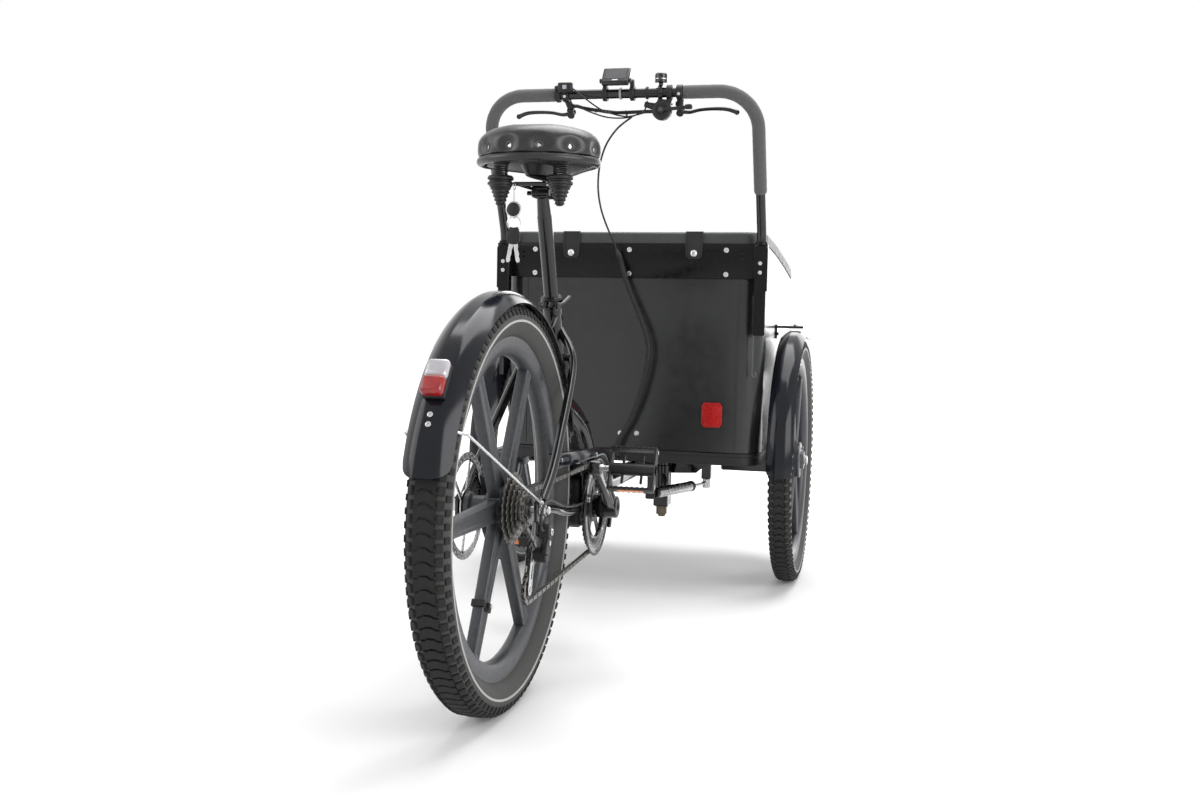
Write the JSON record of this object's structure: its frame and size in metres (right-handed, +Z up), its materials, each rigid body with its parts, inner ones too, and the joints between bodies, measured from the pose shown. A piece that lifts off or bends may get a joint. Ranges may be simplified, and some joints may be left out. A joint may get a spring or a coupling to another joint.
{
  "type": "electric cargo tricycle",
  "caption": "Front-loading electric cargo tricycle: deep box between two steered front wheels, push bar, mid motor, chain drive, sprung saddle and rear cast wheel.",
  "frame": {"origin": "on the floor, under the middle of the overall length and width", "axes": "+Z up, +Y forwards (towards the cargo box), +X to the rider's right"},
  "size_m": [0.8016, 1.9676, 1.2088],
  "materials": {
    "black_paint": "gloss black paint",
    "grey_alloy": "cast alloy, satin",
    "black_plastic": "moulded, matt",
    "tyre_rubber": "matt tread",
    "grip_foam": "soft foam",
    "black_vinyl": "coated cloth, fine grain",
    "mudguard": "gloss blue-black",
    "bright_steel": "plated",
    "panel": "matt grey-black panel",
    "red_lens": "red and clear lens",
    "display_grey": "glossy grey"
  },
  "bodies": {
    "rear_frame": {"frame": "black_paint", "motor": "black_plastic", "rear_axle": "bright_steel", "rear_mudguard": "mudguard", "tail_light": "red_lens", "mudguard_stay": "bright_steel", "brake_caliper": "black_plastic", "chain": "bright_steel", "chain_guard": "display_grey", "derailleur_body": "black_plastic", "derailleur_cage": "black_plastic", "seat_clamp": "bright_steel"},
    "front_carrier": {"subframe": "black_paint", "kingpin": "bright_steel", "box_floor": "black_plastic", "box_shell": "panel", "box_cover": "black_vinyl", "battery": "black_plastic", "bar_carrier": "black_plastic", "push_bar": "black_paint", "grip_left": "grip_foam", "grip_right": "grip_foam", "front_mudguard_left": "mudguard", "front_mudguard_right": "mudguard", "lever_body_left": "black_plastic", "lever_body_right": "black_plastic", "remote_switch": "black_plastic", "display": "display_grey", "bell": "black_paint", "shifter": "black_plastic", "cable_bundle": "black_plastic", "harness": "black_plastic"},
    "rear_wheel": {"rear_tyre": "tyre_rubber", "rear_cast_wheel": "grey_alloy", "brake_rotor": "bright_steel"},
    "front_wheel_left": {"front_tyre_left": "tyre_rubber", "front_cast_wheel_left": "grey_alloy"},
    "front_wheel_right": {"front_tyre_right": "tyre_rubber", "front_cast_wheel_right": "grey_alloy"},
    "crankset": {"crank_right": "black_paint", "crank_left": "black_paint", "chainring": "bright_steel"},
    "pedal_right": {"pedal_right": "black_plastic"},
    "pedal_left": {"pedal_left": "black_plastic"},
    "cassette": {"cassette": "bright_steel"},
    "jockey_upper": {"jockey_upper": "black_plastic"},
    "jockey_lower": {"jockey_lower": "black_plastic"},
    "saddle": {"seatpost": "black_paint", "saddle_rails": "bright_steel", "saddle_pan": "black_plastic", "saddle_cushion": "black_vinyl", "saddle_spring_left": "black_plastic", "saddle_spring_right": "black_plastic"},
    "seat_lever": {"seat_lever": "bright_steel"},
    "brake_lever_left": {"brake_lever_left": "black_paint"},
    "brake_lever_right": {"brake_lever_right": "black_paint"},
    "shift_lever": {"shift_lever": "black_plastic"},
    "remote_button": {"remote_button": "display_grey"},
    "damper_cylinder": {"damper_cylinder": "black_paint"},
    "damper_rod": {"damper_rod": "bright_steel"}
  },
  "joints": [
    {"name": "steering", "type": "hinge", "parent": "rear_frame", "child": "front_carrier", "pos_m": [0, 0.75378, 0.25], "axis": [0, 0, 1], "range_deg": [-32, 32]},
    {"name": "front_wheel_left_spin", "type": "hinge", "parent": "front_carrier", "child": "front_wheel_left", "pos_m": [-0.362, 0.61378, 0.307], "axis": [-1, 0, 0], "continuous": true},
    {"name": "front_wheel_right_spin", "type": "hinge", "parent": "front_carrier", "child": "front_wheel_right", "pos_m": [0.362, 0.61378, 0.307], "axis": [-1, 0, 0], "continuous": true},
    {"name": "rear_wheel_spin", "type": "hinge", "parent": "rear_frame", "child": "rear_wheel", "pos_m": [0, -0.63622, 0.34], "axis": [-1, 0, 0], "continuous": true},
    {"name": "crank_spin", "type": "hinge", "parent": "rear_frame", "child": "crankset", "pos_m": [0, -0.20122, 0.285], "axis": [-1, 0, 0], "continuous": true},
    {"name": "cassette_spin", "type": "hinge", "parent": "rear_frame", "child": "cassette", "pos_m": [0.04, -0.63622, 0.34], "axis": [-1, 0, 0], "continuous": true},
    {"name": "jockey_upper_spin", "type": "hinge", "parent": "rear_frame", "child": "jockey_upper", "pos_m": [0.0495, -0.61822, 0.262], "axis": [-1, 0, 0], "continuous": true},
    {"name": "jockey_lower_spin", "type": "hinge", "parent": "rear_frame", "child": "jockey_lower", "pos_m": [0.0495, -0.63422, 0.2055], "axis": [-1, 0, 0], "continuous": true},
    {"name": "pedal_right_spin", "type": "hinge", "parent": "crankset", "child": "pedal_right", "pos_m": [0.16, -0.34314, 0.37858], "axis": [1, 0, 0], "continuous": true},
    {"name": "pedal_left_spin", "type": "hinge", "parent": "crankset", "child": "pedal_left", "pos_m": [-0.16, -0.05929, 0.19142], "axis": [1, 0, 0], "continuous": true},
    {"name": "saddle_height", "type": "slide", "parent": "rear_frame", "child": "saddle", "axis": [0, -0.342, 0.9397], "range_m": [-0.03, 0.08]},
    {"name": "seat_clamp_lever", "type": "hinge", "parent": "rear_frame", "child": "seat_lever", "pos_m": [0.0165, -0.36998, 0.67851], "axis": [0, -0.342, 0.9397], "range_deg": [-100, 0]},
    {"name": "brake_lever_left_pull", "type": "hinge", "parent": "front_carrier", "child": "brake_lever_left", "pos_m": [-0.117, 0.18878, 1.118], "axis": [0, 0.7772, 0.6292], "range_deg": [0, 12], "stiffness_Nm_per_rad": 1.2, "springref_deg": -4.58},
    {"name": "brake_lever_right_pull", "type": "hinge", "parent": "front_carrier", "child": "brake_lever_right", "pos_m": [0.1335, 0.18878, 1.118], "axis": [0, 0.7772, 0.6292], "range_deg": [-8, 0], "stiffness_Nm_per_rad": 1.2, "springref_deg": 4.58},
    {"name": "shift_lever_push", "type": "hinge", "parent": "front_carrier", "child": "shift_lever", "pos_m": [0.0985, 0.14258, 1.1155], "axis": [0, 1, 0], "range_deg": [0, 25], "stiffness_Nm_per_rad": 0.6, "springref_deg": -5.73},
    {"name": "remote_button_press", "type": "slide", "parent": "front_carrier", "child": "remote_button", "axis": [0, 1, 0], "range_m": [0, 0.001], "stiffness_N_per_m": 600, "springref_m": -0.0005},
    {"name": "damper_swing", "type": "hinge", "parent": "rear_frame", "child": "damper_cylinder", "pos_m": [0.0135, 0.52878, 0.212], "axis": [0, 0, 1], "range_deg": [-9.09, 9.09]},
    {"name": "damper_stroke", "type": "slide", "parent": "damper_cylinder", "child": "damper_rod", "axis": [0.3577, 0.9338, 0], "range_m": [-0.0518, 0.0518]}
  ],
  "couplings": [
    {"joint": "cassette_spin", "follows": "crank_spin", "ratio": 2.8},
    {"joint": "jockey_lower_spin", "follows": "crank_spin", "ratio": 3.8182},
    {"joint": "jockey_upper_spin", "follows": "crank_spin", "ratio": -3.8182},
    {"joint": "damper_swing", "follows": "steering", "ratio": 0.2685},
    {"joint": "damper_stroke", "follows": "steering", "m_per_rad": 0.0918}
  ]
}
